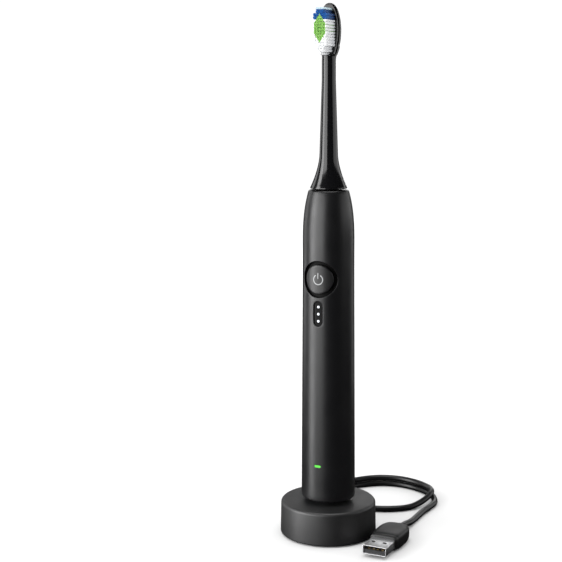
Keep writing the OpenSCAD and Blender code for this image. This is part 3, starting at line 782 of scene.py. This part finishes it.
def rounded_tip(middle, reach, drop, length):
    """Draws a reach in towards the middle near the tip."""
    if drop >= length:
        return reach
    return middle + (reach - middle) * math.sqrt(max(1 - (1 - drop / length) ** 2, 0))


def head_station(z):
    """The loop of the neck's end and the head at a height."""
    drop = brush_top - z
    s = (z - head_z) / HEAD_L
    grown = blend_between(step_z - 3 * MM, step_z + 2.5 * MM, z)
    half_w = HEAD_W * math.sqrt(max(1 - s * s, 0))
    if z < head_z:
        neck_share = 1 if half_w < NECK_TOP_R * 1.4 else 1 - grown
        half_w = (NECK_TOP_R ** 4 * neck_share + half_w ** 4) ** 0.25
    middle = HEAD_MIDDLE * grown
    cut_back = blend_between(step_z - STEP_HALF, step_z + STEP_HALF, z)
    front = -NECK_TOP_R + (HEAD_FRONT + NECK_TOP_R) * cut_back
    back = NECK_TOP_R + (HEAD_BACK - NECK_TOP_R) * grown
    front = rounded_tip(middle, front, drop, TIP_FRONT)
    back = rounded_tip(middle, back, drop, TIP_BACK)
    return section(half_w, front, back, z, 2 + 4 * cut_back, middle)


stations = [circle_at(0, socket_top), circle_at(SOCKET_R, socket_top),
            circle_at(SOCKET_R, brush_z + SOCKET_MOUTH),
            circle_at(SKIRT_R - SKIRT_WALL, brush_z + 0.2 * MM),
            circle_at(SKIRT_R - SKIRT_WALL, skirt_z),
            circle_at(SKIRT_R - 0.25 * MM, skirt_z),
            circle_at(SKIRT_R - 0.05 * MM, skirt_z + 0.1 * MM),
            circle_at(SKIRT_R, skirt_z + 0.3 * MM)]
rises = heights(0.3 * MM, FLARE_L, 0.9 * MM) + heights(FLARE_L, NECK_L, 4 * MM)[1:]
stations += [circle_at(neck_radius(rise), brush_z + rise) for rise in rises]
neck_end = step_z - 4 * MM
stations += [head_station(z) for z in heights(neck_end, step_z - 0.6 * MM, 0.5 * MM)]
stations += [head_station(step_z + rise * MM)
             for rise in (-0.3, -0.2, -0.1, 0, 0.1, 0.2, 0.3, 0.6)]
stations += [head_station(z) for z in heights(step_z + MM, brush_top - 3 * MM, 0.7 * MM)]
stations += [head_station(brush_top - drop * MM)
             for drop in (2.4, 1.9, 1.5, 1.1, 0.8, 0.55, 0.35, 0.2, 0.1, 0.03, 0)]
bm = loft(stations, 96)
brush_neck = add_piece("brush_neck", to_mesh("brush_neck", bm), "brush", brush_black,
                       ["brush_shell"])
round_edges(brush_neck, 0.15 * MM, 2, 50)
print("head from", round((brush_top - 2 * HEAD_L) / MM, 1), "to", round(brush_top / MM, 1))

# %% [markdown]
# ## The bristles
# Nylon filaments are cut in bunches, folded and stapled into holes, so a field of bristles is a
# grid of round tufts. Each tuft here is a bundle of real filaments, packed like a honeycomb. The
# tips splay by a hair and end at slightly different heights, which is what makes a brush look
# like a brush. The tufts follow the mechanical model's grid and colours: a green diamond, a blue
# crown and white all round, with a paler tuft at the very top.

# %% Plant the bristles
BRISTLE_L = 11.2 * MM
TUFT_R = 0.78 * MM
FILAMENT_R = 0.085 * MM
FILAMENT_GAP = 0.185 * MM
ROW_GAP = FILAMENT_GAP * 0.866
ROOT_SPREAD = 0.94
TIP_SPREAD = 1.03
TIP_ROUND = 0.1 * MM
UNEVEN = 0.15 * MM
# The field's plan, in millimetres from its centre
FIELD_W = 3.4
FIELD_L = 11.0
PITCH = 1.35
BLOCK_GAP = 0.35
GREEN_W = 2.9
DIAMOND_W = 4.5
DIAMOND_L = 6.8
DIAMOND_UP = 0.6
BLUE_FROM = 4.6
PALE_FROM = 9.4


def filament_colour(x, z):
    """The colour at x and z, in millimetres from the field's centre."""
    if abs(x) < GREEN_W and abs(x) / DIAMOND_W + abs(z - DIAMOND_UP) / DIAMOND_L < 1:
        return "deep" if 0.75 < max(abs(x), abs(z + 0.2)) < 1.15 else "green"
    if z > PALE_FROM:
        return "pale"
    return "blue" if z > BLUE_FROM else "white"


def tufts():
    """The centre of every tuft, in millimetres. The crown and the toe stand a little apart."""
    columns = int(FIELD_W / PITCH)
    row_count = int(FIELD_L / PITCH)
    for i in range(-row_count, row_count + 1):
        for j in range(-columns, columns + 1):
            x, z = j * PITCH, i * PITCH
            if (x / FIELD_W) ** 2 + (abs(z) / FIELD_L) ** 2.4 < 1 and z < FIELD_L - 1:
                apart = BLOCK_GAP / 2 if abs(i) > 3 else -BLOCK_GAP / 2 * abs(i) / 3
                yield x, z + math.copysign(apart, i)


def filament(bm, x, z, tip_x, tip_z, tip_y):
    """One filament from the head's face to its rounded tip."""
    sides = 6
    ring = bmesh.ops.create_circle(bm, segments=sides, radius=1)["verts"]
    edges = list({edge for vertex in ring for edge in vertex.link_edges})
    path = [(HEAD_FRONT, x, z, 1), (tip_y + TIP_ROUND, tip_x, tip_z, 1),
            (tip_y, tip_x, tip_z, 0.45)]
    for index, (y, px, pz, size) in enumerate(path):
        if index:
            ring, edges = next_ring(bm, ring, edges)
        for k, vertex in enumerate(ring):
            a = math.tau * k / sides
            reach = FILAMENT_R * size
            vertex.co = (px + reach * math.cos(a), y, pz + reach * math.sin(a))
    bmesh.ops.contextual_create(bm, geom=edges)


luck = random.Random(7)
fields = {colour: bmesh.new() for colour in ("white", "green", "deep", "blue", "pale")}
spots = int(TUFT_R / FILAMENT_GAP) + 1


def plant(tuft_x, tuft_z):
    """One tuft, made in small meshes of its own, one for each colour, then added to the field."""
    bunch = {}
    for u in range(-2 * spots, 2 * spots + 1):
        for v in range(-spots, spots + 1):
            dx = (u + v / 2) * FILAMENT_GAP
            dz = v * ROW_GAP
            if math.hypot(dx, dz) > TUFT_R - FILAMENT_R:
                continue
            splay = TIP_SPREAD + luck.uniform(-0.03, 0.03)
            colour = filament_colour(tuft_x + dx / MM, tuft_z + dz / MM)
            filament(bunch.setdefault(colour, bmesh.new()),
                     tuft_x * MM + dx * ROOT_SPREAD, head_z + tuft_z * MM + dz * ROOT_SPREAD,
                     tuft_x * MM + dx * splay, head_z + tuft_z * MM + dz * splay,
                     -BRISTLE_L + luck.uniform(0, UNEVEN))
    for colour, small in bunch.items():
        carrier = bpy.data.meshes.new("tuft")
        small.to_mesh(carrier)
        small.free()
        fields[colour].from_mesh(carrier)
        bpy.data.meshes.remove(carrier)


for tuft_x, tuft_z in tufts():
    plant(tuft_x, tuft_z)
print("tufts:", len(list(tufts())), "white faces:", len(fields["white"].faces))

# %% [markdown]
# Nylon is clear to milky. Light enters at the tips and leaks out of the sides, and the roots
# stand in the shade of the field, so the tips look brighter and the roots darker. That light and
# shade is painted into the colour, which runs along the filament from a painted shade at the root
# to a painted light at the tip, and part of the light passes through.

# %% Colour the bristles
def nylon(name, root, tip, through=0.25):
    """Nylon whose colour runs from a painted shade at the root to a painted light at the tip."""
    material, tree, shader, where = new_material(name)
    split = tree.nodes.new("ShaderNodeSeparateXYZ")
    tree.links.new(where, split.inputs["Vector"])
    along = tree.nodes.new("ShaderNodeMapRange")
    along.inputs["From Min"].default_value = HEAD_FRONT
    along.inputs["From Max"].default_value = -BRISTLE_L
    tree.links.new(split.outputs["Y"], along.inputs["Value"])
    tree.links.new(two_tone(tree, along.outputs["Result"], root, tip), shader.inputs["Base Color"])
    tree.links.new(spread(tree, noise(tree, where, 900), 0.3, 0.5), shader.inputs["Roughness"])
    shader.inputs["Subsurface Weight"].default_value = through
    shader.inputs["Subsurface Radius"].default_value = (0.001, 0.001, 0.001)
    shader.inputs["Subsurface Scale"].default_value = 0.5
    return material


# Each root colour is a painted shade, darker than its tip. Each tip colour is a painted light.
bristle_looks = {
    "white": nylon("bristle_white", (0.50, 0.51, 0.53), (0.80, 0.81, 0.82)),
    "green": nylon("bristle_green", (0.12, 0.30, 0.05), (0.26, 0.50, 0.13)),
    "deep": nylon("bristle_deep", (0.06, 0.22, 0.03), (0.13, 0.34, 0.07)),
    "blue": nylon("bristle_blue", (0.003, 0.012, 0.05), (0.014, 0.11, 0.36)),
    "pale": nylon("bristle_pale", (0.30, 0.40, 0.44), (0.50, 0.62, 0.68)),
}
bristle_nodes = {"white": ["white_bristles"], "green": ["green_bristles"],
                 "blue": ["blue_bristles"]}
for colour, bm in fields.items():
    piece = add_piece(f"tufts_{colour}", to_mesh(f"tufts_{colour}", bm, 1e-8), "brush",
                      bristle_looks[colour], bristle_nodes.get(colour, ()))
    print(piece.name, "faces:", len(piece.data.polygons))

# %% [markdown]
# ## The plug
# The grip of a USB plug is moulded over the shell in one shot. It is a flat loaf with rounded
# sides, a band in front, a flat panel on top and a short collar where the cord enters. The loft
# runs from the mouth to the cord: each station has its own width, height and squareness.

# %% Loft the grip
PLUG_T = 8.0 * MM
COLLAR_L = 3.0 * MM
plug_x = (plug_low.x + plug_high.x) / 2
plug_front = plug_low.y
plug_rear = plug_high.y
plug_z = PLUG_T / 2


def loaf(back, half_w, half_t, power):
    """A loft rule: a loop across the plug, a distance behind its front."""
    def rule(share):
        x, z = squircle(share, half_w, half_t, power)
        return Vector((plug_x + x, plug_front + back, plug_z + z))
    return rule


full = (plug_rear - plug_front - COLLAR_L) / MM
# Distance behind the front, half width, half height, in millimetres, and squareness
grip_table = [
    (0, 0, 0, 4), (0, 6.4, 3.2, 5), (0.1, 6.75, 3.45, 5), (0.4, 6.95, 3.6, 5), (2.0, 7.1, 3.65, 5),
    (2.4, 7.12, 3.65, 5), (2.7, 7.15, 3.72, 5), (3.0, 7.2, 3.9, 5), (3.3, 7.25, 3.98, 5),
    (5, 7.4, 4.0, 5), (8, 7.58, 4.0, 5), (13, 7.6, 4.0, 5), (16, 7.35, 4.0, 4.5),
    (18, 6.9, 3.96, 4), (19.4, 6.3, 3.85, 3.6), (20.3, 5.6, 3.55, 3.2), (20.8, 4.8, 3.15, 3),
    (full, 3.6, 2.7, 2.5),
    (full + 0.05, 2.6, 2.5, 2.1), (full + 1.2, 2.5, 2.5, 2), (full + 2.6, 2.4, 2.4, 2),
    (full + 2.9, 2.15, 2.15, 2), (full + 3, 1.7, 1.7, 2), (full + 3, 0, 0, 2)]
bm = loft([loaf(back * MM, half_w * MM, half_t * MM, power)
           for back, half_w, half_t, power in grip_table], 96)
plug_grip = add_piece("plug_grip", to_mesh("plug_grip", bm), "charger", grip_black,
                      ["plug_body"])
round_edges(plug_grip, 0.12 * MM, 2, 50)
print("grip length in millimetres:", round((plug_rear - plug_front) / MM, 1))

# %% [markdown]
# The shell is stamped from thin sheet and folded, with two windows on each wide side for the
# socket's springs. One rounded loop is extruded through four stations, the window faces are
# deleted, and a Solidify modifier gives the sheet its thickness.

# %% Fold the plug's shell
SHELL_WALL = 0.35 * MM
SHELL_CORNER = 0.7 * MM
WINDOW_NEAR = 1.9 * MM
WINDOW_FAR = 3.9 * MM
WINDOW_START = 5.2 * MM
WINDOW_END = 7.6 * MM
shell_half_w = (shell_high.x - shell_low.x) / 2
shell_half_t = (shell_high.z - shell_low.z) / 2
shell_mid_z = (shell_high.z + shell_low.z) / 2


def shell_outline():
    """Half the way round the shell's section, with corners where the windows begin and end."""
    right = [(x, shell_half_t) for x in (0, WINDOW_NEAR, WINDOW_FAR)]
    right += quarter(shell_half_w - SHELL_CORNER, shell_half_t - SHELL_CORNER, SHELL_CORNER,
                     90, 0, 5)
    right += [(x, -z) for x, z in reversed(right)]
    return right + [(-x, z) for x, z in reversed(right)][1:-1]


def shell_station(y):
    """A loft rule: the shell's outline at a distance along the plug."""
    def rule(share):
        x, z = loop[round(share * len(loop)) % len(loop)]
        return Vector((plug_x + x, y, shell_mid_z + z))
    return rule


def in_window(face):
    """True for the faces over the socket's springs."""
    middle = face.calc_center_median()
    return (window_start < middle.y < window_end
            and WINDOW_NEAR < abs(middle.x - plug_x) < WINDOW_FAR)


loop = shell_outline()
window_start = shell_low.y + WINDOW_START
window_end = shell_low.y + WINDOW_END
bm = loft([shell_station(y) for y in (shell_low.y, window_start, window_end, shell_high.y)],
          len(loop))
windows = [face for face in bm.faces if in_window(face)]
bmesh.ops.delete(bm, geom=windows, context="FACES")
plug_case = add_piece("plug_case", to_mesh("plug_case", bm), "charger", nickel,
                      ["plug_shell"])
sheet = plug_case.modifiers.new("sheet", "SOLIDIFY")
sheet.thickness = SHELL_WALL
sheet.offset = -1
round_edges(plug_case, 0.06 * MM, 2, 50)
print("windows:", len(windows))

# %% [markdown]
# ## The parts that stay
# The foot, the cover, the shaft, the seal and everything inside keep their mechanical shapes.
# They get finishes by their material slot: sintered bronze, drawn copper, ferrite, natural nylon
# and so on. The lights glow: three white dots and a green bar.

# %% Finish the kept parts
def glow(name, colour, strength):
    """A lens lit from behind, its glow a little uneven."""
    material, tree, shader, where = new_material(name)
    tree.links.new(two_tone(tree, noise(tree, where, 400), tuple(c * 0.8 for c in colour), colour),
                   shader.inputs["Emission Color"])
    shader.inputs["Base Color"].default_value = (*(c * 0.2 for c in colour), 1)
    shader.inputs["Emission Strength"].default_value = strength
    shader.inputs["Roughness"].default_value = 0.25
    return material


slot_looks = {
    "charger_black": charger_black, "handset_black": handset_black, "brush_black": brush_black,
    "button_black": button_black, "cord_black": cord_black, "plug_black": grip_black,
    "soft_rubber": rubber_black, "symbol_grey": symbol_grey, "nickel": nickel,
    "cap_black": plastic("cap_black", (0.006, 0.006, 0.0065), 0.42),
    "stem_white": plastic("stem_white", (0.62, 0.62, 0.60), 0.4),
    "steel": metal("steel", (0.56, 0.57, 0.58), 0.24),
    "core_iron": metal("core_iron", (0.30, 0.30, 0.31), 0.45, (300, 300, 9000)),
    "magnet": metal("magnet", (0.40, 0.40, 0.42), 0.3),
    "bronze": metal("bronze", (0.50, 0.33, 0.16), 0.42, (3000, 3000, 3000)),
    "copper_wire": metal("copper_wire", (0.72, 0.30, 0.15), 0.28, (200, 200, 9000)),
    # Gold painted darker than real gold: painted shade inside the plug's mouth.
    "gold_contact": metal("gold_contact", (0.36, 0.25, 0.11), 0.4),
    "plug_tongue": plastic("plug_tongue", (0.016, 0.016, 0.018), 0.45),
    "ferrite": plastic("ferrite", (0.030, 0.030, 0.032), 0.55, 3000, 0.5),
    "natural_nylon": plastic("natural_nylon", (0.60, 0.56, 0.46), 0.45),
    "battery_sleeve": plastic("battery_sleeve", (0.02, 0.13, 0.32), 0.3),
    "foam_pad": plastic("foam_pad", (0.05, 0.05, 0.055), 0.9, 2500, 0.9),
    "circuit_board": plastic("circuit_board", (0.01, 0.11, 0.04), 0.35, 1500, 0.3),
    "chip_black": plastic("chip_black", (0.012, 0.012, 0.013), 0.5),
    "led_white": glow("led_white", (0.95, 0.96, 1.0), 1.0),
    "smoked_window": plastic("smoked_window", (0.001, 0.001, 0.001), 0.2, grain_depth=0.02,
                             specular=0.08),
    "dot_white": glow("dot_white", (0.90, 0.95, 1.0), 1.2),
    "charge_green": glow("charge_green", (0.12, 0.72, 0.07), 1.0),
    "bristle_white": bristle_looks["white"], "bristle_green": bristle_looks["green"],
    "bristle_blue": bristle_looks["blue"],
}
for name, node in nodes.items():
    look = slot_looks[slot_of[name]]
    for slot in node.material_slots:
        slot.material = look
print("finishes:", len(bpy.data.materials))

# %% [markdown]
# ## The studio
# A black satin object on a white ground is lit for its edges. A tall softbox on the left draws
# the long bright band down the handset, dim ones on the right give the far edge, and panels above
# and behind fill the deck and the metal of the plug. The sky and the ground are white but kept
# out of reflections, as black cards do in a real studio. The ground's colour is painted darker
# round the object than far away, a painted shade that keeps the lamps from bleaching the soft
# shadow at its foot. The ground casts no shadow itself, since the softboxes reach below it.

# %% Light the studio
AIM = Vector((0, 0, 0.13))
FLOOR_R = 3.0
PAINTED_SHADE_TO = 0.08
BRIGHT_FROM = 0.7
SKY = 1.06


def softbox(name, place, width, height, power, aim=AIM):
    """A rectangular area light that the camera does not see."""
    light_data = bpy.data.lights.new(name, "AREA")
    light_data.shape = "RECTANGLE"
    light_data.size = width
    light_data.size_y = height
    light_data.energy = power
    light = new_object(name, light_data)
    light.location = place
    light.rotation_euler = (aim - place).to_track_quat("-Z", "Y").to_euler()
    light.visible_camera = False


def around(angle, distance, up):
    """A place round the object. Angle 0 is at the camera and 90 is on its left."""
    a = math.radians(angle)
    return studio(-distance * math.sin(a), -distance * math.cos(a), up)


softbox("key_left", around(78, 0.8, 0.22), 0.36, 0.95, 7.6)
softbox("fill_left", around(46, 1.2, 0.30), 1.0, 1.0, 13.0)
softbox("edge_left", around(128, 1.0, 0.25), 0.4, 0.8, 1.6)
softbox("edge_right", around(-128, 0.9, 0.25), 0.22, 0.8, 0.7)
softbox("high_right", around(-90, 0.8, 0.28), 1.0, 0.32, 1.3, Vector((0, 0, 0.24)))
softbox("panel_back", studio(-0.45, 1.15, 0.66), 0.9, 0.44, 1.6)
softbox("panel_top", Vector((0, 0, 0.9)), 0.6, 0.6, 4.0)
softbox("low_back", studio(0.3, 1.0, 0.36), 0.5, 0.2, 1.0, Vector((0.03, 0, 0.02)))

world = bpy.data.worlds.new("white_room")
bpy.context.scene.world = world
world.use_nodes = True
background = world.node_tree.nodes["Background"]
background.inputs["Color"].default_value = (1, 1, 1, 1)
background.inputs["Strength"].default_value = SKY
world.cycles_visibility.glossy = False

bm = bmesh.new()
bmesh.ops.create_circle(bm, cap_ends=True, segments=64, radius=FLOOR_R)
floor = new_object("studio_floor", to_mesh("studio_floor", bm, recalc=False))
floor_white, tree, shader, where = new_material("floor_white")
away = tree.nodes.new("ShaderNodeVectorMath")
away.operation = "LENGTH"
tree.links.new(where, away.inputs["Vector"])
lit = tree.nodes.new("ShaderNodeMapRange")
lit.inputs["From Min"].default_value = PAINTED_SHADE_TO
lit.inputs["From Max"].default_value = BRIGHT_FROM
tree.links.new(away.outputs["Value"], lit.inputs["Value"])
# Painted shade: the ground's colour is darker near the object and white far away.
tree.links.new(two_tone(tree, lit.outputs["Result"], (0.59, 0.59, 0.59), (0.96, 0.96, 0.96)),
               shader.inputs["Base Color"])
shader.inputs["Roughness"].default_value = 1.0
shader.inputs["Specular IOR Level"].default_value = 0.0
floor.data.materials.append(floor_white)
floor.visible_glossy = False
floor.visible_shadow = False
view = bpy.context.scene.view_settings
view.view_transform = "Standard"
view.look = "None"
print("lights:", len(bpy.data.lights))
